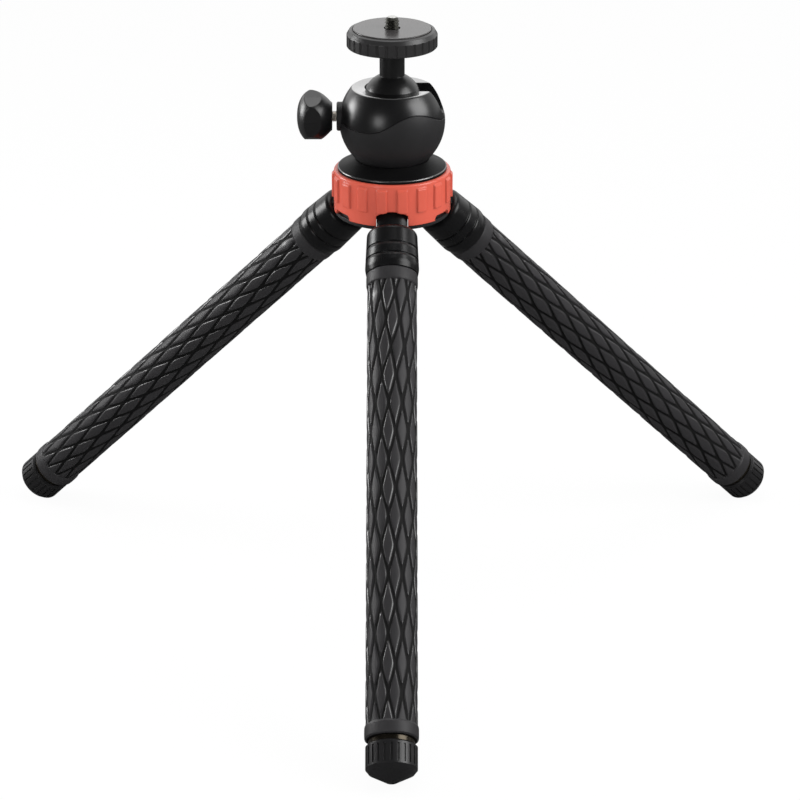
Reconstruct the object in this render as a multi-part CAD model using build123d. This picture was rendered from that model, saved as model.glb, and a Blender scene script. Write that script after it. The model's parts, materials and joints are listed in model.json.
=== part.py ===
from build123d import *
import math
import os

# Sizes in millimetres. +Z is up, the front leg points along -Y, and the origin is the
# centre of the camera seat, where the camera screw comes out of the pad.

# Camera platform
screw_r = 3.175
screw_out = 5.1
screw_tip_chamfer = 0.7
shank_r = 2.5
shank_end_len = 1.6
clip_r = 3.7
clip_groove_r = 2.1
clip_t = 0.8
disc_r = 20.2
disc_t = 7.85
disc_rim_w = 1.35
disc_rim_fall = 0.35
disc_shoulder = 2.2
disc_shoulder_round = 0.4
disc_foot_bevel = 0.5
disc_rib_count = 30
disc_rib_turn = 5.0
disc_groove_r = 0.8
disc_groove_out = 0.3
pad_r = 17.4
pad_t = 1.4
pad_proud = 0.6
pad_edge = 0.25
pad_moat_w = 0.35
pad_moat_depth = 0.5
pad_hole_gap = 0.525
relief_r = 2.7
relief_rise = 0.1

# Ball and its neck
ball_r = 13.3
neck_r = 5.6
neck_visible = 18.8
clip_pocket_gap = 0.3
clip_pocket_drop = 3.0

# Ball housing
housing_r = 23.7
rim_rise = 15.4
housing_drop = 17.1
opening_r = 11.95
rim_round = 1.6
mouth_bevel = 0.4
mouth_arc_tilt = 20.0
notch_side_gap = 1.2
part_line_w = 0.4
part_line_depth = 0.4
wave_reach = 3.0
wave_low = 0.2
wave_high = 7.9
wave_left_x = -11.5
wave_right_x = 10.0
wave_end_rise = 1.0
wave_slopes = (-0.05, 0.02, 0.62, 0.0, -0.5)
ball_gap = 0.3
cup_top_drop = 10.7
cup_floor_t = 2.6
spring_h = 1.9
spring_t = 0.9
spring_in_r = 8.0
spring_side_gap = 0.3
plug_core_r = 5.2
head_gap = 0.1

# Ball lock
knob_drop = 7.1
lock_screw_r = 2.5
lock_pitch = 0.8
lock_turns = 1.5
pad_pin_r = 3.0
pad_socket_depth = 2.6
collar_r = 6.5
collar_proud = 1.1
collar_t = 3.6
collar_bore_gap = 0.3
collar_bevel = 0.5
nut_r = 4.3
nut_len = 4.0
nut_in_collar = 1.0
nut_gap = 0.2
knob_gap = 2.0
knob_len = 15.7
knob_r = 11.9
knob_ridge_r = 10.3
knob_edge_round = 0.7
knob_neck_r = 6.8
knob_neck_bevel = 0.6
knob_neck_len = 0.8
knob_wide_at = 9.8
knob_lobes = 5
knob_turn = 19.0
knob_screw_depth = 9.0

# Hub and collar ring
flange_h = 5.15
flange_lip = 1.3
flange_top_r = 16.9
flange_sag = 0.5
flange_inset = 1.75
flange_round = 0.4
ring_r = 26.25
ring_wall = 2.25
ring_h = 19.05
ring_lip_w = 3.5
ring_lip_t = 2.0
ring_round = 0.9
ring_rib_count = 18
ring_rib_out = 0.95
ring_rib_root = 0.5
ring_rib_top = 2.65
ring_rib_bottom = 12.85
ring_rib_round = 0.6
ring_notch_h = 6.95
ring_notch_arch = 2.3
ring_notch_gap = 0.2
ring_notch_corner = 0.7
ring_relief_w = 11.8
ring_relief_h = 2.3
ring_relief_corner = 1.9
cover_t = 2.0
cover_inset = 0.75
cover_bevel = 0.5
hub_screw_at = 17.0
hub_screw_r = 1.5
hub_screw_len = 12.0
hub_screw_head_r = 2.8
hub_screw_head_t = 1.1
base_screw_up = 5.7
base_head_r = 5.4
base_head_t = 4.0
base_head_rise = 1.5

# Leg hinges
leg_azimuths = {"front": -90.0, "right": 30.0, "left": 150.0}
splay = 46.0
pivot_r = 15.0
pivot_rise = 4.45
pin_r = 2.0
pin_len = 28.0
tongue_w = 13.8
tongue_down = 4.0
tongue_up = 7.6
tongue_arch = 2.6
tongue_round = 2.3
eye_r = 4.4
slot_side = 0.2
slot_back = 0.7
washer_r = 3.8
washer_t = 0.9
washer_gap = 0.05

# Legs, measured down the leg from the hinge pin
cap_top = 12.0
cap_top_r = 11.2
cap_round = 2.5
cap_wide_at = 30.4
cap_wide_r = 12.0
cap_wide_round = 6.0
cap_end = 33.0
cap_end_r = 11.5
groove_at = (21.4, 26.6)
groove_r = 0.45
sleeve_r = 11.05
sleeve_wall = 2.4
sleeve_end = 248.7
top_band_r = 11.45
top_band_len = 6.4
foot_band_r = 11.5
foot_band_len = 6.0
band_step = 0.6
band_bevel = 0.35
foot_band_bevel = 0.6
foot_band_bevel_len = 1.3
cap_spigot = 18.0
core_r = 3.0
core_in_cap = 14.0
ring_gap = 2.3
end_ring_r = 9.8
plug_spigot = 12.0
plug_core_depth = 8.0
plug_foot_r = 8.4
plug_foot_depth = 6.5
foot_r = 11.0
foot_top_bevel = 0.8
foot_side_len = 10.4
foot_shoulder = 1.55
foot_cone_r = 9.8
foot_cone_h = 4.15
foot_nose = 2.0
foot_nose_round = 0.8
foot_rib_count = 24
foot_rib_gap = 0.9
foot_rib_depth = 0.45
foot_rib_end = 0.9

# Clearances
run_fit = 0.05
seat_gap = 0.1

# What follows from the sizes above
ring_in_r = ring_r - ring_wall
ring_rib_r = ring_r + ring_rib_out
ring_lip_r = ring_in_r - ring_lip_w
ring_notch_w = tongue_w + 2 * ring_notch_gap
flange_r = ring_r - flange_inset
cover_r = ring_r - cover_inset
notch_r = neck_r + notch_side_gap
disc_rim_in = pad_r + pad_moat_w
disc_rim_out = disc_rim_in + disc_rim_w
pad_hole_r = screw_r + pad_hole_gap
clip_pocket_r = clip_r + clip_pocket_gap
socket_r = ball_r + ball_gap
collar_out = housing_r + collar_proud
sleeve_in_r = sleeve_r - sleeve_wall
slot_w = tongue_w + 2 * slot_side
lock_travel = lock_pitch * lock_turns

# Levels, from the camera seat down
disc_top = -pad_proud
disc_bottom = disc_top - disc_t
rim_z = disc_bottom - neck_visible
ball_z = rim_z - math.sqrt(socket_r**2 - opening_r**2)
housing_z = rim_z - rim_rise
housing_bottom = housing_z - housing_drop
cup_bottom = ball_z - socket_r - cup_floor_t
plug_top = cup_bottom - spring_h
knob_z = ball_z - knob_drop
flange_top = housing_bottom - head_gap
ring_top = flange_top - flange_h
ring_bottom = ring_top - ring_h
cover_bottom = ring_bottom - cover_t
base_head_z = ring_bottom + base_head_rise
pivot_z = ring_bottom + pivot_rise
slot_top = pivot_z + tongue_up * math.sin(math.radians(splay)) + slot_back
slot_in = pivot_r - eye_r - slot_back
clip_shelf_z = ball_z - clip_pocket_drop

# Places along the lock's axis, outward from the ball's centre line
nut_inner = collar_out - collar_t - nut_len + nut_in_collar
pad_back = nut_inner - lock_travel - nut_gap
knob_base = collar_out + knob_gap

# Places down the leg
cap_spigot_end = cap_end + cap_spigot
core_top = cap_spigot_end - core_in_cap
plug_start = sleeve_end - plug_spigot
core_bottom = plug_start + plug_core_depth
foot_top = sleeve_end + ring_gap
foot_side_end = foot_top + foot_side_len
foot_cone_top = foot_side_end + foot_shoulder
foot_tip = foot_cone_top + foot_cone_h


def turned(*points):
    outline = Polyline(*points, close=True)
    return revolve(make_face(Plane.XZ * outline), Axis.Z)


def turned_lines(lines):
    return revolve(Plane.XZ * make_face(lines), Axis.Z)


def ring_of(r_out, r_in, z_low, z_high):
    return turned((r_in, z_low), (r_out, z_low), (r_out, z_high), (r_in, z_high))


def rod(r, z_low, z_high):
    return Pos(0, 0, z_low) * Cylinder(r, z_high - z_low, align=(Align.CENTER, Align.CENTER, Align.MIN))


def around(count, make, first=0.0):
    return [Rot(0, 0, first + i * 360 / count) * make for i in range(count)]


def rim_edges(solid, z, r):
    circles = solid.edges().filter_by(GeomType.CIRCLE)
    return [e for e in circles if abs(e.center().Z - z) < 0.01 and abs(e.radius - r) < 0.01]


# Camera platform: a knurled wheel with its screw, turning in the ball's neck

def camera_screw():
    thread = rod(screw_r, disc_bottom, screw_out)
    thread = chamfer(rim_edges(thread, screw_out, screw_r), screw_tip_chamfer)
    thread -= ring_of(2 * screw_r, relief_r, -pad_t, relief_rise)
    groove_top = clip_shelf_z - run_fit
    groove_bottom = groove_top - clip_t
    shank = rod(shank_r, groove_bottom - shank_end_len, disc_bottom)
    shank -= ring_of(2 * shank_r, clip_groove_r, groove_bottom, groove_top)
    return thread + shank


def screw_clip():
    top = clip_shelf_z - run_fit
    return ring_of(clip_r, clip_groove_r, top - clip_t, top)


def platform_disc():
    shoulder_z = disc_top - disc_shoulder
    moat_z = disc_top - pad_moat_depth
    disc = turned(
        (screw_r, disc_bottom), (disc_r - disc_foot_bevel, disc_bottom),
        (disc_r, disc_bottom + disc_foot_bevel), (disc_r, shoulder_z),
        (disc_rim_out, disc_top - disc_rim_fall), (disc_rim_in, disc_top),
        (disc_rim_in, moat_z), (pad_r, moat_z), (pad_r, -pad_t), (screw_r, -pad_t),
    )
    disc = fillet(rim_edges(disc, shoulder_z, disc_r), disc_shoulder_round)
    groove = Pos(disc_r + disc_groove_out, 0, 0) * rod(disc_groove_r, disc_bottom - disc_t, shoulder_z)
    return disc - around(disc_rib_count, groove, leg_azimuths["front"] + disc_rib_turn)


def platform_pad():
    return turned(
        (pad_hole_r, -pad_t), (pad_r, -pad_t), (pad_r, -pad_edge), (pad_r - pad_edge, 0),
        (pad_hole_r, 0)
    )


# Ball with its neck, and the pocket that takes the screw's clip

def ball_stem():
    neck = rod(neck_r, ball_z, disc_bottom - seat_gap)
    ball = Pos(0, 0, ball_z) * Sphere(ball_r) + neck
    ball -= rod(shank_r + run_fit, ball_z - 2 * ball_r, disc_bottom)
    return ball - rod(clip_pocket_r, ball_z - 2 * ball_r, clip_shelf_z)


# Housing: one spherical moulding, split along a wavy line into two shells

def whole_housing():
    rim_r = math.sqrt(housing_r**2 - rim_rise**2)
    bottom_r = math.sqrt(housing_r**2 - housing_drop**2)
    tilt = math.radians(mouth_arc_tilt)
    arc_point = (socket_r * math.cos(tilt), ball_z + socket_r * math.sin(tilt))
    body = turned_lines([
        ThreePointArc((bottom_r, housing_bottom), (housing_r, housing_z), (rim_r, rim_z)),
        Line((rim_r, rim_z), (opening_r, rim_z)),
        ThreePointArc((opening_r, rim_z), arc_point, (socket_r, ball_z)),
        Line((socket_r, ball_z), (socket_r, housing_bottom)),
        Line((socket_r, housing_bottom), (bottom_r, housing_bottom)),
    ])
    body = fillet(rim_edges(body, rim_z, rim_r), rim_round)
    body = chamfer(rim_edges(body, rim_z, opening_r), mouth_bevel)
    body -= notch_cutter()
    bore = rod(pad_pin_r + run_fit, 0, housing_r)
    pocket = rod(collar_r, collar_out - collar_t, 2 * housing_r)
    nut_space = rod(nut_r, nut_inner, 2 * housing_r)
    return body - on_lock_axis(bore + pocket + nut_space)


def notch_cutter():
    tall = rim_z - ball_z + housing_r
    slot = Pos(housing_r, 0, ball_z + tall / 2) * Box(2 * housing_r, 2 * notch_r, tall)
    floor = Pos(0, 0, ball_z) * Rot(0, 90, 0) * rod(notch_r, 0, 2 * housing_r)
    return slot + floor


def wave(lift):
    edge_x = housing_r + wave_reach
    low = housing_z + wave_low + lift
    high = housing_z + wave_high + lift
    end = housing_z + wave_end_rise + lift
    middle = ((wave_left_x + wave_right_x) / 2, (low + high) / 2)
    points = [(-edge_x, end), (wave_left_x, low), middle, (wave_right_x, high), (edge_x, low)]
    return Spline(*points, tangents=[(1, slope) for slope in wave_slopes])


def above(line):
    edge_x = housing_r + wave_reach
    top = rim_z + wave_reach
    frame = [line, Line(line @ 1, (edge_x, top)), Line((edge_x, top), (-edge_x, top)),
             Line((-edge_x, top), line @ 0)]
    return extrude(Plane.XZ * make_face(frame), amount=edge_x, both=True)


def part_line():
    band = above(wave(-part_line_w / 2)) - above(wave(part_line_w / 2))
    return band - Pos(0, 0, housing_z) * Sphere(housing_r - part_line_depth)


def housing_shells():
    body = whole_housing()
    split = above(wave(0))
    groove = part_line()
    upper = (body & split) - groove
    lower = (body - split) - groove
    return upper, lower


def ball_cup():
    cup = rod(socket_r, cup_bottom, ball_z - cup_top_drop)
    return cup - Pos(0, 0, ball_z) * Sphere(socket_r)


def cup_spring():
    spring_r = socket_r - spring_side_gap
    return turned(
        (spring_in_r, cup_bottom - spring_t), (spring_r, plug_top),
        (spring_r, plug_top + spring_t), (spring_in_r, cup_bottom)
    )


def base_plug():
    return ring_of(socket_r, plug_core_r, housing_bottom, plug_top)


def base_insert():
    return ring_of(plug_core_r, screw_r + run_fit, housing_bottom, plug_top)


# Ball lock: knob and screw pushing a pad against the ball, from the -X side

def on_lock_axis(piece):
    return Pos(0, 0, knob_z) * Rot(0, -90, 0) * piece


def lock_collar():
    collar = ring_of(collar_r, lock_screw_r + collar_bore_gap, collar_out - collar_t, collar_out)
    collar = chamfer(rim_edges(collar, collar_out, collar_r), collar_bevel)
    return on_lock_axis(collar - rod(nut_r, 0, nut_inner + nut_len))


def lock_nut():
    return on_lock_axis(ring_of(nut_r, lock_screw_r + run_fit, nut_inner, nut_inner + nut_len))


def lock_pad():
    pin = rod(pad_pin_r, 0, pad_back)
    pin -= rod(lock_screw_r + run_fit, pad_back - pad_socket_depth, pad_back)
    return on_lock_axis(pin) - Pos(0, 0, ball_z) * Sphere(socket_r)


def lock_screw():
    tip = pad_back - pad_socket_depth + run_fit
    return on_lock_axis(rod(lock_screw_r, tip, knob_base + knob_screw_depth))


def lock_knob():
    top = knob_base + knob_len
    wide = knob_base + knob_wide_at
    floor = knob_base + knob_screw_depth
    neck_top = knob_base + knob_neck_len
    knob = turned_lines([
        Line((lock_screw_r, knob_base), (knob_neck_r - knob_neck_bevel, knob_base)),
        Line((knob_neck_r - knob_neck_bevel, knob_base), (knob_neck_r, neck_top)),
        Spline((knob_neck_r, neck_top), (knob_r, wide), tangents=[(1.1, 1), (0.1, 1)]),
        Spline((knob_r, wide), (0, top), tangents=[(-0.45, 1), (-1, 0)]),
        Line((0, top), (0, floor)),
        Line((0, floor), (lock_screw_r, floor)),
        Line((lock_screw_r, floor), (lock_screw_r, knob_base)),
    ])
    corners = []
    for i in range(knob_lobes):
        for r, turn in ((knob_r, 0), (knob_ridge_r, 180 / knob_lobes)):
            angle = math.radians(knob_turn + turn + i * 360 / knob_lobes)
            corners.append((r * math.cos(angle), r * math.sin(angle)))
    face = make_face(Polyline(*corners, close=True))
    face = fillet(face.vertices(), knob_edge_round)
    facets = extrude(Pos(0, 0, knob_base) * face, knob_len)
    return on_lock_axis(knob & facets)


# Hub: flared base, collar ring, slotted body, cover, screws and hinge pins

def base_flange():
    lip_top = ring_top + flange_lip
    mid_r = (flange_top_r + flange_r) / 2 - flange_sag / 2
    mid_z = (flange_top + lip_top) / 2 - flange_sag / 2
    flange = turned_lines([
        ThreePointArc((flange_top_r, flange_top), (mid_r, mid_z), (flange_r, lip_top)),
        Line((flange_r, lip_top), (flange_r, ring_top)),
        Line((flange_r, ring_top), (screw_r, ring_top)),
        Line((screw_r, ring_top), (screw_r, flange_top)),
        Line((screw_r, flange_top), (flange_top_r, flange_top)),
    ])
    return fillet(rim_edges(flange, lip_top, flange_r), flange_round)


def collar_ring():
    ring = ring_of(ring_r, ring_in_r, ring_bottom, ring_top)
    ring = fillet(rim_edges(ring, ring_top, ring_r), ring_round)
    ring += ring_of(ring_in_r, ring_lip_r, ring_top - ring_lip_t, ring_top)
    rib_top = ring_top - ring_rib_top
    rib_bottom = ring_top - ring_rib_bottom
    rib_root = ring_r - ring_rib_root
    rib_band = turned(
        (rib_root, rib_bottom), (ring_rib_r, rib_bottom), (ring_rib_r, rib_top),
        (ring_r, rib_top + ring_rib_out), (rib_root, rib_top + ring_rib_out)
    )
    rib_w = math.pi * ring_rib_r / ring_rib_count
    tall = 2 * ring_h
    rib = rib_band & Pos(ring_r, 0, ring_top) * Box(ring_r, rib_w, tall)
    outer = [e for e in rib.edges().filter_by(Axis.Z) if e.center().X > ring_r]
    rib = fillet(outer, ring_rib_round)
    half_step = 180 / ring_rib_count
    ring += around(ring_rib_count, rib, leg_azimuths["front"] + half_step)
    for azimuth in leg_azimuths.values():
        ring -= Rot(0, 0, azimuth) * radial_cut(ring_notch_face())
        ring -= Rot(0, 0, azimuth + 180) * radial_cut(ring_relief_face())
    return ring


def ring_notch_face():
    half = ring_notch_w / 2
    low = ring_bottom - ring_h
    top = ring_bottom + ring_notch_h
    side_top = top - ring_notch_arch
    outline = Polyline((-half, side_top), (-half, low), (half, low), (half, side_top))
    face = make_face(outline + ThreePointArc((half, side_top), (0, top), (-half, side_top)))
    return fillet(face.vertices().group_by(Axis.Y)[-1], ring_notch_corner)


def ring_relief_face():
    face = Pos(0, ring_bottom + ring_relief_h - ring_h) * Rectangle(ring_relief_w, 2 * ring_h)
    return fillet(face.vertices().group_by(Axis.Y)[-1], ring_relief_corner)


def radial_cut(face):
    start = Plane(origin=(slot_in, 0, 0), x_dir=(0, 1, 0), z_dir=(1, 0, 0))
    return extrude(start * face, amount=ring_rib_r)


def tongue_slot():
    deep = slot_top - cover_bottom
    far = 2 * ring_rib_r
    return Pos(slot_in + far / 2, 0, slot_top - deep) * Box(far, slot_w, 2 * deep)


def pin_line(r, length):
    return Pos(pivot_r, 0, pivot_z) * Rot(90, 0, 0) * Cylinder(r, length)


def hub_body():
    hub = rod(ring_in_r, ring_bottom, ring_top - ring_lip_t) + rod(ring_lip_r, ring_bottom, ring_top)
    hub -= rod(screw_r, ring_bottom, ring_top)
    hub -= rod(base_head_r, ring_bottom, base_head_z + base_head_t)
    for azimuth in leg_azimuths.values():
        hub -= Rot(0, 0, azimuth) * (tongue_slot() + pin_line(pin_r, 2 * ring_in_r))
    return hub - hub_screws()


def base_screw():
    head = extrude(Pos(0, 0, base_head_z) * RegularPolygon(base_head_r, 6), base_head_t)
    return head + rod(screw_r, base_head_z, flange_top + base_screw_up)


def hub_screw():
    head = rod(hub_screw_head_r, cover_bottom, cover_bottom + hub_screw_head_t)
    shank = rod(hub_screw_r, cover_bottom, cover_bottom + hub_screw_len)
    return Pos(hub_screw_at, 0, 0) * (head + shank)


def hub_cover():
    cover = rod(cover_r, cover_bottom, ring_bottom)
    cover = chamfer(rim_edges(cover, cover_bottom, cover_r), cover_bevel)
    for azimuth in leg_azimuths.values():
        cover -= Rot(0, 0, azimuth) * tongue_slot()
    return cover - hub_screws()


def hub_screws():
    between_legs = leg_azimuths["front"] + 180 / len(leg_azimuths)
    return Compound(around(len(leg_azimuths), hub_screw(), between_legs))


def hinge_pins():
    pins = [Rot(0, 0, azimuth) * pin_line(pin_r, pin_len) for azimuth in leg_azimuths.values()]
    return Compound(pins)


def friction_washers():
    blank = Cylinder(washer_r, washer_t) - Cylinder(pin_r, washer_t)
    offset = (slot_w - washer_t) / 2
    placed = []
    for azimuth in leg_azimuths.values():
        for side in (-1, 1):
            here = Pos(pivot_r, side * offset, pivot_z) * Rot(90, 0, 0)
            placed.append(Rot(0, 0, azimuth) * here * blank)
    return Compound(placed)


# Legs: drawn hanging straight down from the pin, then swung out and turned to their side

def down(*points):
    return turned(*[(r, -s) for r, s in points])


def cap_radius(s):
    return cap_top_r + (cap_wide_r - cap_top_r) * (s - cap_top) / (cap_wide_at - cap_top)


def leg_cap():
    cap = down(
        (0, cap_top), (cap_top_r, cap_top), (cap_wide_r, cap_wide_at), (cap_end_r, cap_end),
        (sleeve_in_r, cap_end), (sleeve_in_r, cap_spigot_end), (0, cap_spigot_end)
    )
    cap = fillet(rim_edges(cap, -cap_top, cap_top_r), cap_round)
    cap = fillet(rim_edges(cap, -cap_wide_at, cap_wide_r), cap_wide_round)
    for at in groove_at:
        cap -= Pos(0, 0, -at) * Torus(cap_radius(at), groove_r)
    cap += extrude(tongue_face(), -cap_top - cap_round)
    cap += Rot(0, 90, 0) * Cylinder(eye_r, tongue_w)
    cap -= Rot(0, 90, 0) * Cylinder(pin_r + run_fit, 2 * tongue_w)
    recess = washer_t + washer_gap - slot_side
    for side in (-1, 1):
        place = Pos(side * (tongue_w - recess) / 2, 0, 0) * Rot(0, 90, 0)
        cap -= place * Cylinder(washer_r + washer_gap, recess)
    return cap - rod(core_r, -sleeve_end, -core_top)


def tongue_face():
    half = tongue_w / 2
    side_top = tongue_up - tongue_arch
    outline = Polyline((-half, side_top), (-half, -tongue_down), (half, -tongue_down), (half, side_top))
    face = make_face(outline + ThreePointArc((half, side_top), (0, tongue_up), (-half, side_top)))
    return fillet(face.vertices().group_by(Axis.Y)[0], tongue_round)


def leg_core():
    return rod(core_r, -core_bottom, -core_top)


def leg_filler():
    return ring_of(sleeve_in_r, core_r, -plug_start, -cap_spigot_end)


def leg_sleeve():
    band_end = cap_end + top_band_len
    foot_band = sleeve_end - foot_band_len
    return down(
        (sleeve_in_r, cap_end), (top_band_r - band_bevel, cap_end), (top_band_r, cap_end + band_bevel),
        (top_band_r, band_end - band_step), (sleeve_r, band_end), (sleeve_r, foot_band),
        (foot_band_r, foot_band + band_step), (foot_band_r, sleeve_end - foot_band_bevel_len),
        (foot_band_r - foot_band_bevel, sleeve_end), (sleeve_in_r, sleeve_end)
    )


def leg_end_plug():
    plug_end = foot_top + plug_foot_depth
    plug = down(
        (0, plug_start), (sleeve_in_r, plug_start), (sleeve_in_r, sleeve_end),
        (end_ring_r, sleeve_end), (end_ring_r, foot_top), (plug_foot_r, foot_top),
        (plug_foot_r, plug_end), (0, plug_end)
    )
    return plug - rod(core_r, -core_bottom, 0)


def leg_foot():
    plug_end = foot_top + plug_foot_depth
    fall = foot_r - foot_cone_r
    shoulder_point = (foot_r - 0.4 * fall, -foot_side_end - 0.35 * foot_shoulder)
    foot = turned_lines([
        Line((plug_foot_r, -foot_top), (foot_r - foot_top_bevel, -foot_top)),
        Line((foot_r - foot_top_bevel, -foot_top), (foot_r, -foot_top - foot_top_bevel)),
        Line((foot_r, -foot_top - foot_top_bevel), (foot_r, -foot_side_end)),
        ThreePointArc((foot_r, -foot_side_end), shoulder_point, (foot_cone_r, -foot_cone_top)),
        Line((foot_cone_r, -foot_cone_top), (foot_nose, -foot_tip)),
        Line((foot_nose, -foot_tip), (0, -foot_tip)),
        Line((0, -foot_tip), (0, -plug_end)),
        Line((0, -plug_end), (plug_foot_r, -plug_end)),
        Line((plug_foot_r, -plug_end), (plug_foot_r, -foot_top)),
    ])
    foot = fillet(rim_edges(foot, -foot_tip, foot_nose), foot_nose_round)
    rib_start = foot_top + foot_top_bevel + foot_rib_end
    height = foot_side_end - foot_rib_end - rib_start
    groove = Pos(foot_r, 0, -rib_start - height / 2) * Box(2 * foot_rib_depth, foot_rib_gap, height)
    return foot - around(foot_rib_count, groove)


def place_leg(piece, azimuth):
    hinge = Rot(0, 0, azimuth) * Pos(pivot_r, 0, pivot_z)
    return hinge * Rot(0, 0, -90) * Rot(splay, 0, 0) * piece


upper_shell, lower_shell = housing_shells()
nodes = {
    "camera_screw": camera_screw(),
    "screw_clip": screw_clip(),
    "platform_disc": platform_disc(),
    "platform_pad": platform_pad(),
    "ball_stem": ball_stem(),
    "housing_upper": upper_shell,
    "housing_lower": lower_shell,
    "ball_cup": ball_cup(),
    "cup_spring": cup_spring(),
    "base_plug": base_plug(),
    "base_insert": base_insert(),
    "lock_collar": lock_collar(),
    "lock_nut": lock_nut(),
    "lock_pad": lock_pad(),
    "lock_screw": lock_screw(),
    "lock_knob": lock_knob(),
    "base_flange": base_flange(),
    "base_screw": base_screw(),
    "collar_ring": collar_ring(),
    "hub_body": hub_body(),
    "hub_cover": hub_cover(),
    "hub_screws": hub_screws(),
    "hinge_pins": hinge_pins(),
    "friction_washers": friction_washers(),
}

leg_pieces = {
    "cap": leg_cap(),
    "core": leg_core(),
    "filler": leg_filler(),
    "sleeve": leg_sleeve(),
    "end_plug": leg_end_plug(),
    "foot": leg_foot(),
}
for side, azimuth in leg_azimuths.items():
    for piece_name, piece in leg_pieces.items():
        nodes[f"leg_{side}_{piece_name}"] = place_leg(piece, azimuth)

os.makedirs("parts", exist_ok=True)
for node_name, shape in nodes.items():
    export_step(shape, f"parts/{node_name}.step")
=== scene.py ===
import json
import math

import bmesh
import bpy
from mathutils import Matrix, Vector


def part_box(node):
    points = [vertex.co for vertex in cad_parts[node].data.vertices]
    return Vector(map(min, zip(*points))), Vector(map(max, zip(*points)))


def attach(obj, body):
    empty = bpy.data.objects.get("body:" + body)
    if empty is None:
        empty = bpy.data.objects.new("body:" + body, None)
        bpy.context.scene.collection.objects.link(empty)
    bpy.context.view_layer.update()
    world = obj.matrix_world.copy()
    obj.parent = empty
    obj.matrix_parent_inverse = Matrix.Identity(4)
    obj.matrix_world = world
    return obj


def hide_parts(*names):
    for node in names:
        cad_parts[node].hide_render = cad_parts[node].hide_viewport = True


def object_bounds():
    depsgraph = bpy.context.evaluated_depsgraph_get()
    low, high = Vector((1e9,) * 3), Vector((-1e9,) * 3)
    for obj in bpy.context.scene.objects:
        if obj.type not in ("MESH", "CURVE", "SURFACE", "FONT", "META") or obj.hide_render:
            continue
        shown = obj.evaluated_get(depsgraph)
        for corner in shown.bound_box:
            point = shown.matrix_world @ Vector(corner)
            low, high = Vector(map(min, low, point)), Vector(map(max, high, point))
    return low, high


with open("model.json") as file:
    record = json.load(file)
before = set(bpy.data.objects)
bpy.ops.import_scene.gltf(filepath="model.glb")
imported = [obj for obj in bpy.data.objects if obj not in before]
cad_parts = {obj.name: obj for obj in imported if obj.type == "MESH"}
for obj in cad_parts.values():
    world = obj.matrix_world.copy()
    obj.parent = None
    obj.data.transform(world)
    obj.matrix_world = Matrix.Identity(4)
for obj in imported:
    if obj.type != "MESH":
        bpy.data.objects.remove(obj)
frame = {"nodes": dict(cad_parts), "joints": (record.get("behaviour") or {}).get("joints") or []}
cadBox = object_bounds()
nodes = frame["nodes"]
joints = {joint["name"]: joint for joint in frame["joints"]}
mm = 0.001
white = (1, 1, 1, 1)
sides = ("front", "right", "left")
openSplay = 46.0  # degrees from upright at which every leg stands at rest
print("frame loaded:", len(nodes), "nodes")


# A Wire is one output socket, and a Look is one material being wired

class Wire:
    def __init__(self, look, socket):
        self.look = look
        self.socket = socket

    def __add__(self, other):
        return self.look.maths("ADD", self, other)

    def __radd__(self, other):
        return self.look.maths("ADD", other, self)

    def __sub__(self, other):
        return self.look.maths("SUBTRACT", self, other)

    def __rsub__(self, other):
        return self.look.maths("SUBTRACT", other, self)

    def __mul__(self, other):
        return self.look.maths("MULTIPLY", self, other)

    def __rmul__(self, other):
        return self.look.maths("MULTIPLY", other, self)


class Look:
    def __init__(self, name, tree=None):
        if tree is None:
            self.material = bpy.data.materials.new(name)
            self.material.use_nodes = True
            tree = self.material.node_tree
        self.tree = tree

    def add(self, kind, settings=None, sockets=None, output=0):
        node = self.tree.nodes.new(kind)
        for key, value in (settings or {}).items():
            setattr(node, key, value)
        self.feed(node, sockets or {})
        return Wire(self, node.outputs[output])

    def feed(self, node, sockets):
        for key, value in sockets.items():
            if isinstance(value, Wire):
                self.tree.links.new(value.socket, node.inputs[key])
            else:
                node.inputs[key].default_value = value

    def maths(self, operation, first, second):
        return self.add("ShaderNodeMath", {"operation": operation}, {0: first, 1: second})

    def surface(self, sockets):
        self.feed(self.tree.nodes["Principled BSDF"], sockets)

    def fed(self, name):  # what feeds an input of the surface now
        socket = self.tree.nodes["Principled BSDF"].inputs[name]
        return Wire(self, socket.links[0].from_socket)

    def place(self):
        return self.add("ShaderNodeTexCoord", output="Object")

    def noise(self, size, detail):
        return self.add("ShaderNodeTexNoise", {}, {
            "Vector": self.place(), "Scale": 1 / size, "Detail": detail}, "Fac")

    def along(self, axis, place):
        return self.add("ShaderNodeSeparateXYZ", {}, {"Vector": place}, axis)

    def reach(self, place):  # distance from the upright axis
        flat = self.add("ShaderNodeVectorMath", {"operation": "MULTIPLY"},
                        {0: place, 1: (1, 1, 0)})
        return self.add("ShaderNodeVectorMath", {"operation": "LENGTH"}, {0: flat}, "Value")

    def fade(self, value, start, end):
        return self.add("ShaderNodeMapRange", {"interpolation_type": "SMOOTHSTEP"},
                        {"Value": value, "From Min": start, "From Max": end})

    def mix(self, amount, first, second):
        return self.add("ShaderNodeMix", {"data_type": "RGBA"},
                        {0: amount, 6: first, 7: second}, 2)

    def mixNormal(self, amount, first, second):
        return self.add("ShaderNodeMix", {"data_type": "VECTOR"},
                        {0: amount, 4: first, 5: second}, 1)

    def bump(self, height, depth, normal=None):
        sockets = {"Height": height, "Distance": depth}
        if normal:
            sockets["Normal"] = normal
        return self.add("ShaderNodeBump", {}, sockets)

    def ray(self, kind):
        return self.add("ShaderNodeLightPath", output=f"Is {kind} Ray")


def dimmed(colour, share):
    return tuple(c * share for c in colour[:3]) + (1,)


def grey(level):
    return (level, level, level, 1)


# Every material starts from this one: colour clouds, fine grain and worn edges

texture = {"cloudDetail": 3.0, "grainDetail": 2.0, "edgeSamples": 6}


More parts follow.
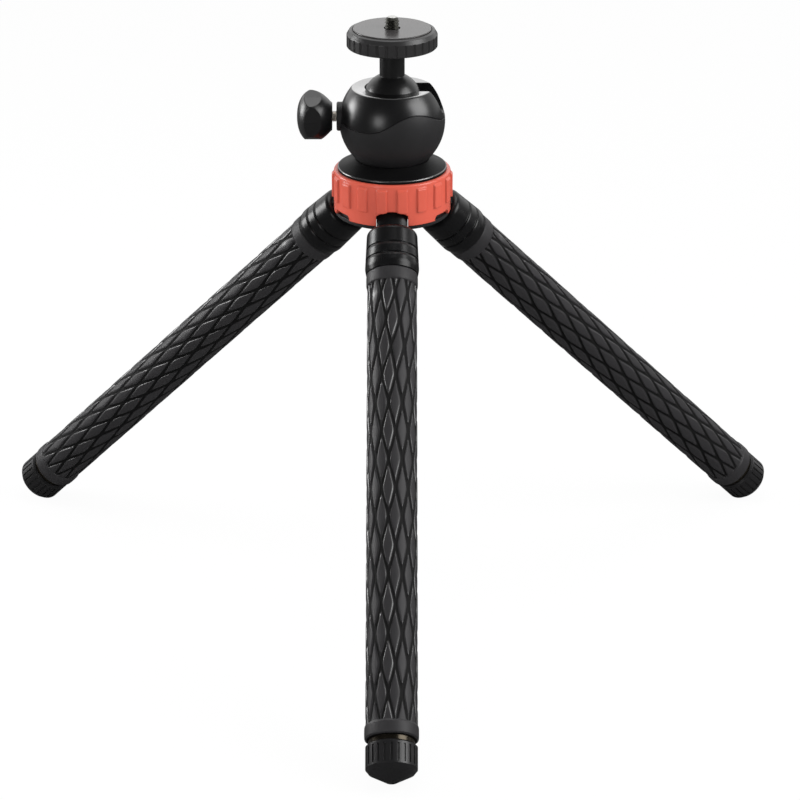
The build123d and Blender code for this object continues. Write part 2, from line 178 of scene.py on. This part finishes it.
def moulded(name, s):
    look = Look(name)
    cloud = look.noise(s["cloudSize"], texture["cloudDetail"])
    grain = look.noise(s["grainSize"], texture["grainDetail"])
    soft = look.add("ShaderNodeBevel", {"samples": texture["edgeSamples"]}, {"Radius": s["edge"]})
    look.surface({
        "Base Color": look.mix(cloud, dimmed(s["colour"], 1 - s["cloudTone"]), s["colour"]),
        "Roughness": s["roughness"] + (cloud - 0.5) * s["roughnessRange"],
        "Normal": look.bump(grain, s["grainDepth"], soft),
        "Specular IOR Level": s["shine"],
        "Metallic": s.get("metallic", 0.0),
    })
    return look


def dress(names, look):
    for name in names:
        mesh = nodes[name].data
        mesh.materials.clear()
        mesh.materials.append(look.material)


sharpAngle = 40.0  # degrees past which an edge of a new piece is drawn sharp


def makePiece(name, bm, look, body, stands):
    mesh = bpy.data.meshes.new(name)
    bmesh.ops.recalc_face_normals(bm, faces=bm.faces)
    bm.to_mesh(mesh)
    bm.free()
    mesh.shade_smooth()
    mesh.set_sharp_from_angle(angle=math.radians(sharpAngle))
    mesh.materials.append(look.material)
    piece = bpy.data.objects.new(name, mesh)
    bpy.context.collection.objects.link(piece)
    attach(piece, body)
    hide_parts(stands)
    return piece


def cut(bm, place, normal, near=0.0):
    bmesh.ops.bisect_plane(bm, geom=bm.verts[:] + bm.edges[:] + bm.faces[:], dist=near,
                           plane_co=place, plane_no=normal, clear_outer=True)


# A rod with a real helical thread, cut flat at both ends and coned at its tip

thread = {"flat": 0.12, "merge": 0.01, "spareTurns": 2}  # the first two as shares of the pitch


def threadedRod(s):
    bm = bmesh.new()
    root, radius, pitch = s["root"], s["radius"], s["pitch"]
    turns = math.ceil((s["high"] - s["low"]) / pitch) + thread["spareTurns"]
    flat = pitch * thread["flat"]
    outline = [(root, 0), (root, flat), (radius, pitch / 2 - flat / 2),
               (radius, pitch / 2 + flat / 2), (root, pitch)]
    start = s["low"] - pitch
    verts = [bm.verts.new((r, 0, start + z)) for r, z in outline]
    edges = [bm.edges.new(pair) for pair in zip(verts, verts[1:])]
    bmesh.ops.spin(bm, geom=verts + edges, cent=(0, 0, 0), axis=(0, 0, 1),
                   angle=math.tau * turns, dvec=(0, 0, pitch / s["steps"]),
                   steps=s["steps"] * turns)
    bmesh.ops.remove_doubles(bm, verts=bm.verts, dist=pitch * thread["merge"])
    cut(bm, (0, 0, s["low"]), (0, 0, -1))
    cut(bm, (0, 0, s["high"]), (0, 0, 1))
    bmesh.ops.holes_fill(bm, edges=[e for e in bm.edges if e.is_boundary])
    for vert in bm.verts:
        limit = radius - max(0, vert.co.z - (s["high"] - s["tip"]))
        reach = math.hypot(vert.co.x, vert.co.y)
        if reach > limit:
            vert.co.x *= limit / reach
            vert.co.y *= limit / reach
    return bm


# Camera screw: dark steel, turning lighter grey over the top 0.2 mm of its tip

cameraScrew = {
    "radius": 3.175 * mm, "root": 2.62 * mm, "pitch": 1.27 * mm, "steps": 40,
    "low": -1.35 * mm, "high": 5.1 * mm, "tip": 1.2 * mm,
    "colour": (0.085, 0.085, 0.075, 1), "cloudTone": 0.35, "cloudSize": 1.2 * mm,
    "grainSize": 0.25 * mm, "grainDepth": 0.03 * mm, "roughness": 0.36, "roughnessRange": 0.2,
    "edge": 0.08 * mm, "shine": 0.5, "metallic": 1.0,
    "tipColour": (0.6, 0.6, 0.58, 1), "tipDepth": 0.2 * mm,
}


def greyTipped(s):
    look = moulded("darkSteel", s)
    low = s["high"] - s["tipDepth"]
    onTip = look.fade(look.along("Z", look.place()), low, low + s["tipDepth"] / 2)
    # the base colour turns lighter grey towards the top end of the tip
    look.surface({"Base Color": look.mix(onTip, look.fed("Base Color"), s["tipColour"])})
    return look


makePiece("cameraScrew", threadedRod(cameraScrew), greyTipped(cameraScrew),
          "platform", "camera_screw")
print("camera screw made")

# Platform wheel and pad

wheel = {
    "colour": (0.021, 0.0204, 0.021, 1), "cloudTone": 0.2, "cloudSize": 6 * mm,
    "grainSize": 0.3 * mm, "grainDepth": 0.03 * mm, "roughness": 0.34, "roughnessRange": 0.1,
    "edge": 0.3 * mm, "shine": 0.5,
}
dress(["platform_disc"], moulded("blackAnodised", wheel))
pad = {
    "colour": (0.043, 0.04, 0.0405, 1), "cloudTone": 0.12, "cloudSize": 5 * mm,
    "grainSize": 0.35 * mm, "grainDepth": 0.008 * mm, "roughness": 0.25, "roughnessRange": 0.08,
    "edge": 0.2 * mm, "shine": 0.95,
}
dress(["platform_pad"], moulded("padRubber", pad))
print("platform dressed")

# Ball and neck

stem = {
    "colour": (0.006, 0.006, 0.0062, 1), "cloudTone": 0.2, "cloudSize": 5 * mm,
    "grainSize": 0.3 * mm, "grainDepth": 0.01 * mm, "roughness": 0.3, "roughnessRange": 0.06,
    "edge": 0.25 * mm, "shine": 0.5,
}
dress(["ball_stem"], moulded("ballBlack", stem))

# Housing shells: gloss above the part line, satin below it, and a polished, slightly dished rim

shell = {
    "colour": (0.0045, 0.0045, 0.0049, 1), "cloudTone": 0.15, "cloudSize": 9 * mm,
    "grainSize": 0.4 * mm, "grainDepth": 0.006 * mm, "roughness": 0.3, "roughnessRange": 0.05,
    "edge": 0.25 * mm, "shine": 0.62,
    "rimDepth": 0.3 * mm, "rimFull": 0.09 * mm, "rimColour": (0.5, 0.5, 0.5, 1),
    "rimRoughness": 0.12, "rimRadius": 17.0 * mm, "rimLean": 0.2, "rimCurve": 26.0,
}


def housingGloss(s):
    look = moulded("housingGloss", s)
    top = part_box("housing_upper")[1].z
    height = look.along("Z", look.place())
    onRim = look.fade(height, top - s["rimDepth"], top - s["rimFull"])
    inward = s["rimRadius"] - look.reach(look.place())
    dish = 0 - inward * (s["rimLean"] + inward * (s["rimCurve"] / 2))
    look.surface({
        "Normal": look.mixNormal(onRim, look.fed("Normal"), look.bump(dish, 1.0)),
        "Base Color": look.mix(onRim, look.fed("Base Color"), s["rimColour"]),
        "Roughness": look.fed("Roughness") + onRim * (s["rimRoughness"] - s["roughness"]),
        "Metallic": onRim,
    })
    return look


dress(["housing_upper"], housingGloss(shell))
satin = {
    "colour": (0.014, 0.0135, 0.0145, 1), "cloudTone": 0.15, "cloudSize": 8 * mm,
    "grainSize": 0.25 * mm, "grainDepth": 0.02 * mm, "roughness": 0.5, "roughnessRange": 0.06,
    "edge": 0.3 * mm, "shine": 0.4,
}
dress(["housing_lower", "lock_collar", "hub_body", "hub_cover"], moulded("satinBlack", satin))

# Base flange: nearly matt, with a painted highlight along its lip, a thin band of light grey
# metal

flange = dict(satin, colour=(0.005, 0.005, 0.0052, 1), roughness=0.4, shine=0.06)
flange.update(lipTone=(0.2, 0.2, 0.2, 1), lipRoughness=0.25, lipWidth=0.5 * mm, lipLow=-64.1 * mm)


def paintedLipGlint(s):
    look = moulded("flangeBlack", s)
    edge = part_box("base_flange")[1].x
    outer = look.fade(look.reach(look.place()), edge - s["lipWidth"], edge - s["lipWidth"] / 2)
    height = look.along("Z", look.place())
    # painted highlight: the lip band is made lighter grey and metallic
    lip = outer * look.fade(height, s["lipLow"], s["lipLow"] + s["lipWidth"] / 2)
    look.surface({
        "Base Color": look.mix(lip, look.fed("Base Color"), s["lipTone"]),
        "Roughness": look.fed("Roughness") + lip * (s["lipRoughness"] - s["roughness"]),
        "Metallic": lip,
    })
    return look


dress(["base_flange"], paintedLipGlint(flange))
print("housing dressed")

# Lock screw, which lies along X, and its knob

screwLow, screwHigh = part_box("lock_screw")
lockScrew = {
    "radius": 2.5 * mm, "root": 2.02 * mm, "pitch": 0.8 * mm, "steps": 36,
    "low": -screwHigh.x, "high": -screwLow.x, "tip": 0.3 * mm,
    "colour": (0.85, 0.8, 0.73, 1), "cloudTone": 0.2, "cloudSize": 1.5 * mm,
    "grainSize": 0.2 * mm, "grainDepth": 0.02 * mm, "roughness": 0.42, "roughnessRange": 0.15,
    "edge": 0.06 * mm, "shine": 0.5, "metallic": 0.6,
}
lockAxis = Matrix.Translation((0, 0, (screwLow.z + screwHigh.z) / 2))
rod = threadedRod(lockScrew)
rod.transform(lockAxis @ Matrix.Rotation(math.radians(-90), 4, "Y"))
makePiece("lockScrew", rod, moulded("brightSteel", lockScrew), "lock_knob", "lock_screw")
knob = dict(shell, roughness=0.34, edge=0.5 * mm)
dress(["lock_knob"], moulded("knobGloss", knob))
print("ball lock dressed")

# Collar ring, and what lies inside the head, the hub and the legs

collar = {
    "colour": (0.6, 0.095, 0.059, 1), "cloudTone": 0.08, "cloudSize": 10 * mm,
    "grainSize": 0.35 * mm, "grainDepth": 0.02 * mm, "roughness": 0.24, "roughnessRange": 0.05,
    "edge": 0.8 * mm, "shine": 0.5,
}
dress(["collar_ring"], moulded("collarOrange", collar))
steel = {
    "colour": (0.5, 0.49, 0.47, 1), "cloudTone": 0.15, "cloudSize": 2 * mm,
    "grainSize": 0.2 * mm, "grainDepth": 0.015 * mm, "roughness": 0.32, "roughnessRange": 0.12,
    "edge": 0.1 * mm, "shine": 0.5, "metallic": 1.0,
}
dress(["hub_screws", "hinge_pins", "friction_washers", "base_screw", "cup_spring", "screw_clip"],
      moulded("plainSteel", steel))
brass = dict(steel, colour=(0.7, 0.5, 0.22, 1))
dress(["lock_nut", "base_insert"], moulded("plainBrass", brass))
aluminium = dict(steel, colour=(0.7, 0.7, 0.71, 1))
dress(["base_plug"] + [f"leg_{side}_core" for side in sides],
      moulded("plainAluminium", aluminium))
nylon = dict(satin, colour=(0.7, 0.69, 0.65, 1))
dress(["ball_cup", "lock_pad"], moulded("plainNylon", nylon))
foam = dict(satin, colour=(0.09, 0.09, 0.09, 1), roughness=0.9, grainDepth=0.2 * mm)
dress([f"leg_{side}_filler" for side in sides], moulded("coreFoam", foam))
print("hub dressed")


# A leg's own frame: its hinge at the origin, its length down Z, in mm

def legPlace(side):
    hinge = Vector(joints[f"leg_{side}_splay"]["pos_m"])
    turn = Matrix.Rotation(math.atan2(hinge.y, hinge.x) - math.pi / 2, 4, "Z")
    lean = Matrix.Rotation(math.radians(openSplay), 4, "X")
    return Matrix.Translation(hinge) @ turn @ lean @ Matrix.Scale(mm, 4)


def onLeg(look, side):
    place = legPlace(side)
    return look.add("ShaderNodeMapping", {"vector_type": "TEXTURE"}, {
        "Vector": look.place(), "Location": place.to_translation(), "Rotation": place.to_euler()})


# Leg caps with a raised lip below each groove, end plugs and feet

cap = dict(shell, roughness=0.28, edge=0.3 * mm, shine=0.28)
cap.update(grooves=(21.85 * mm, 27.05 * mm), lip=0.8 * mm, lipRise=0.2 * mm)
endPlug = dict(cap, colour=(0.045, 0.038, 0.028, 1), metallic=0.9, roughness=0.22)
foot = dict(satin, colour=(0.009, 0.0088, 0.0094, 1), roughness=0.32, edge=0.12 * mm)


def lipped(side, s):
    look = moulded(f"capGloss_{side}", s)
    down = 0 - look.along("Z", onLeg(look, side))
    lips = sum(look.fade(down, at, at + s["lip"]) * s["lipRise"] for at in s["grooves"])
    look.surface({"Normal": look.bump(lips, 1.0, look.fed("Normal"))})
    return look


plugMetal = moulded("plugMetal", endPlug)
footRubber = moulded("footRubber", foot)
for side in sides:
    dress([f"leg_{side}_cap"], lipped(side, cap))
    dress([f"leg_{side}_end_plug"], plugMetal)
    dress([f"leg_{side}_foot"], footRubber)

# Sleeves: the shape is in the leg's frame in mm, and the finish is in metres

sleeve = {
    "innerRadius": 8.65, "radius": 11.05, "bandRadius": 11.45, "footBandRadius": 11.5,
    "top": 33.0, "bandEnd": 39.4, "footBand": 242.7, "end": 248.7, "bandBevel": 0.35,
    "around": 11, "period": 26.5, "lean": (-0.2, -0.55),
    "steps": ((0.36, 0.0), (0.46, 0.5), (0.35, 0.13)),  # inset and rise of a diamond's rings
    "cuts": 3, "longEdge": 2.0, "merge": 0.02, "cutNear": 1e-5, "endNear": 0.01,
    "colour": (0.0215, 0.0205, 0.0222, 1), "cloudTone": 0.2, "cloudSize": 7 * mm,
    "grainSize": 0.22 * mm, "grainDepth": 0.03 * mm, "roughness": 0.5, "roughnessRange": 0.1,
    "edge": 0.1 * mm, "shine": 0.32,
    # the grooves' colour is dimmed: painted shade in the recesses
    "grooveShade": 0.1, "grooveRoughness": 0.8, "grooveFrom": 10.5 * mm, "grooveTo": 10.9 * mm,
    "wallCoat": 0.6, "wallRoughness": 0.25, "outerFrom": 10.93 * mm, "outerTo": 11.0 * mm,
}
# where a diamond's middle lies on each leg, in degrees round it and mm down it, and how the
# pattern winds: degrees per mm, down to twistEnd
windings = {
    "front": {"angle": 8.5, "at": 99.0, "twist": -0.35, "twistEnd": 88.0},
    "right": {"angle": -97.3, "at": 99.0, "twist": -0.44, "twistEnd": 250.0},
    "left": {"angle": 76.4, "at": 99.0, "twist": -0.4, "twistEnd": 250.0},
}


def flatDiamonds(s):
    bm = bmesh.new()
    count = 4 * s["around"]
    bmesh.ops.create_grid(bm, x_segments=count, y_segments=count, size=count / 2)
    stepAcross = math.pi * s["radius"] / s["around"]
    stepDown = s["period"] / 2
    for vert in bm.verts:
        a, b = vert.co.x, vert.co.y
        vert.co = ((a - b) * stepAcross, (a + b) * stepDown, 0)
    return bm


def trim(bm, s, length, spareAcross, spareDown):
    cut(bm, (0, s["bandEnd"] - spareDown, 0), (0, -1, 0), s["cutNear"])
    cut(bm, (0, s["footBand"] + spareDown, 0), (0, 1, 0), s["cutNear"])
    cut(bm, (-spareAcross, 0, 0), (-1, 0, 0), s["cutNear"])
    cut(bm, (length + spareAcross, 0, 0), (1, 0, 0), s["cutNear"])


def rolled(co, s, winding, depth):
    across, down, height = co
    stop = winding["twistEnd"]
    turn = winding["twist"] * (min(down, stop) - min(winding["at"], stop))
    angle = across / s["radius"] + math.radians(winding["angle"] + turn)
    reach = s["radius"] - depth + height
    return -reach * math.sin(angle), reach * math.cos(angle), -down


# the diamonds are raised and leant on a flat sheet, which is then rolled round the leg
def sleeveMesh(s, winding):
    bm = flatDiamonds(s)
    bmesh.ops.translate(bm, verts=bm.verts, vec=(0, winding["at"] + s["period"] / 2, 0))
    length = math.tau * s["radius"]
    trim(bm, s, length, s["period"] / 2, s["period"])
    faces = [f for f in bm.faces if len(f.verts) == 4]
    for inset, rise in s["steps"]:
        bmesh.ops.inset_individual(bm, faces=faces, thickness=inset, depth=rise,
                                   use_even_offset=True)
    depth = sum(rise for _, rise in s["steps"])
    for vert in bm.verts:
        vert.co += Vector((*s["lean"], 0)) * (vert.co.z / depth)
    trim(bm, s, length, 0, 0)
    longEdges = [e for e in bm.edges if e.calc_length() > s["longEdge"]]
    bmesh.ops.subdivide_edges(bm, edges=longEdges, cuts=s["cuts"], use_grid_fill=True)
    for vert in bm.verts:
        vert.co = rolled(vert.co, s, winding, depth)
    bmesh.ops.remove_doubles(bm, verts=bm.verts, dist=s["merge"])
    return bm


def growBand(bm, s, level, stations):
    loop = [e for e in bm.edges if e.is_boundary
            and all(abs(v.co.z + level) < s["endNear"] for v in e.verts)]
    for reach, down in stations:
        grown = bmesh.ops.extrude_edge_only(bm, edges=loop)["geom"]
        loop = [g for g in grown if isinstance(g, bmesh.types.BMEdge) and g.is_boundary]
        for vert in {v for e in loop for v in e.verts}:
            across = Vector((vert.co.x, vert.co.y, 0)).normalized() * reach
            vert.co = (across.x, across.y, -down)
    return loop


# the smooth band from the pattern's edge to an end of the sleeve, as radius and distance down
def bandStations(s, radius, near, far):
    bevel = s["bandBevel"]
    inward = math.copysign(bevel, far - near)
    return [(radius - bevel, near), (radius, near + inward), (radius, (near + far) / 2),
            (radius, far - inward), (radius - bevel, far), (s["innerRadius"], far)]


def closedSleeve(s, winding):
    bm = sleeveMesh(s, winding)
    top = bandStations(s, s["bandRadius"], s["bandEnd"], s["top"])
    end = bandStations(s, s["footBandRadius"], s["footBand"], s["end"])
    topLoop = growBand(bm, s, s["bandEnd"], top)
    endLoop = growBand(bm, s, s["footBand"], end)
    bmesh.ops.holes_fill(bm, edges=topLoop + endLoop)
    return bm


# painted shade in the matt grooves, walls with a slight coat, and worn outer faces
def grooved(side, s):
    look = moulded(f"sleeveRubber_{side}", s)
    reach = look.reach(onLeg(look, side))
    raised = look.fade(reach, s["grooveFrom"], s["grooveTo"])
    outer = look.fade(reach, s["outerFrom"], s["outerTo"])
    wall = s["grooveRoughness"] + raised * (s["wallRoughness"] - s["grooveRoughness"])
    # painted shade: the base colour darkens towards the groove floors
    paintedGrooveShade = dimmed(s["colour"], s["grooveShade"])
    look.surface({
        "Base Color": look.mix(raised, paintedGrooveShade, look.fed("Base Color")),
        "Roughness": wall + outer * (look.fed("Roughness") - wall),
        "Coat Weight": (1 - outer) * raised * s["wallCoat"],
        "Coat Roughness": s["wallRoughness"],
    })
    return look


for side, winding in windings.items():
    bm = closedSleeve(sleeve, winding)
    bm.transform(legPlace(side))
    piece = makePiece(f"sleeve_{side}", bm, grooved(side, sleeve),
                      f"leg_{side}", f"leg_{side}_sleeve")
    smooth = piece.modifiers.new("smooth", "SUBSURF")
    smooth.levels = smooth.render_levels = 1
    print("sleeve made:", side, len(piece.data.polygons), "faces")

# Studio: pale floor, soft lamps, and a white background for the camera

studio = {
    "floorRadius": 9.0, "floorSides": 64, "floorDrop": 0.2 * mm, "floorTone": 0.8,
    "floorGlossShade": 0.09, "floorRoughness": 0.9, "floorShine": 0.1, "floorGlow": 0.95,
    "plainFront": 0.75, "plainBack": 0.45, "glossFront": 0.03, "glossBack": 1.15,
    "behindFrom": 0.0, "behindTo": 0.75,  # how far back a ray points where front turns to back
    "lamps": {
        "leftBack": {"from": (-0.93, 0.31, 0.19), "away": 0.8, "size": 0.32, "power": 3.8},
        "leftFront": {"from": (-0.475, -0.842, 0.218), "away": 0.85, "size": 0.26, "power": 1.0},
        "rightKey": {"from": (0.82, -0.264, 0.508), "away": 1.2, "size": 0.75, "power": 11.0},
        "overhead": {"from": (0.05, 0.2, 1.0), "away": 1.2, "size": 0.7, "power": 4.5},
    },
    "aim": (0, 0, -0.07),
}


def buildWorld(s):
    world = bpy.data.worlds.new("studio")
    bpy.context.scene.world = world
    world.use_nodes = True
    look = Look("studio", world.node_tree)
    direction = look.add("ShaderNodeTexCoord", output="Generated")
    behind = look.fade(look.along("Y", direction), s["behindFrom"], s["behindTo"])
    gloss = s["glossFront"] + behind * (s["glossBack"] - s["glossFront"])
    soft = s["plainFront"] + behind * (s["plainBack"] - s["plainFront"])
    isGlossy = look.ray("Glossy")
    other = (1 - isGlossy) * soft + isGlossy * gloss
    plain = look.maths("MAXIMUM", look.ray("Camera"), look.ray("Transmission"))
    strength = plain + (1 - plain) * other
    look.feed(world.node_tree.nodes["Background"], {"Color": white, "Strength": strength})


def buildFloor(s):
    bm = bmesh.new()
    bmesh.ops.create_circle(bm, cap_ends=True, segments=s["floorSides"], radius=s["floorRadius"])
    bmesh.ops.translate(bm, verts=bm.verts, vec=(0, 0, cadBox[0].z - s["floorDrop"]))
    mesh = bpy.data.meshes.new("floor")
    bm.to_mesh(mesh)
    bm.free()
    floor = bpy.data.objects.new("floor", mesh)
    bpy.context.collection.objects.link(floor)
    look = Look("floor")
    mesh.materials.append(look.material)
    # painted shade: the floor is far darker in reflections than to other rays, which dims its
    # reflection in the object
    tone = look.mix(look.ray("Glossy"), grey(s["floorTone"]), grey(s["floorGlossShade"]))
    look.surface({"Base Color": tone, "Roughness": s["floorRoughness"],
                  "Specular IOR Level": s["floorShine"]})
    surface = Wire(look, look.tree.nodes["Principled BSDF"].outputs[0])
    glow = look.add("ShaderNodeEmission", {}, {"Color": white, "Strength": 1.0})
    both = look.add("ShaderNodeMixShader", {}, {
        0: look.ray("Camera") * s["floorGlow"], 1: surface, 2: glow})
    look.feed(look.tree.nodes["Material Output"], {"Surface": both})


def buildLamps(s):
    aim = Vector(s["aim"])
    for name, lamp in s["lamps"].items():
        light = bpy.data.lights.new(name, "AREA")
        light.size = lamp["size"]
        light.energy = lamp["power"]
        holder = bpy.data.objects.new(name, light)
        holder.location = aim + Vector(lamp["from"]).normalized() * lamp["away"]
        holder.rotation_euler = (aim - holder.location).to_track_quat("-Z", "Y").to_euler()
        holder.visible_camera = False
        bpy.context.collection.objects.link(holder)


buildWorld(studio)
buildFloor(studio)
buildLamps(studio)

view = {"location": (0.0035, -1.4547, 0.41305), "tilt": 67.9, "lens": 153.0, "sensor": 36.0}
camera = bpy.data.objects.new("camera", bpy.data.cameras.new("camera"))
camera.data.lens = view["lens"]
camera.data.sensor_width = view["sensor"]
camera.location = view["location"]
camera.rotation_euler = (math.radians(view["tilt"]), 0, 0)
bpy.context.collection.objects.link(camera)
bpy.context.scene.camera = camera
bpy.context.scene.view_settings.view_transform = "Standard"
print("studio ready")
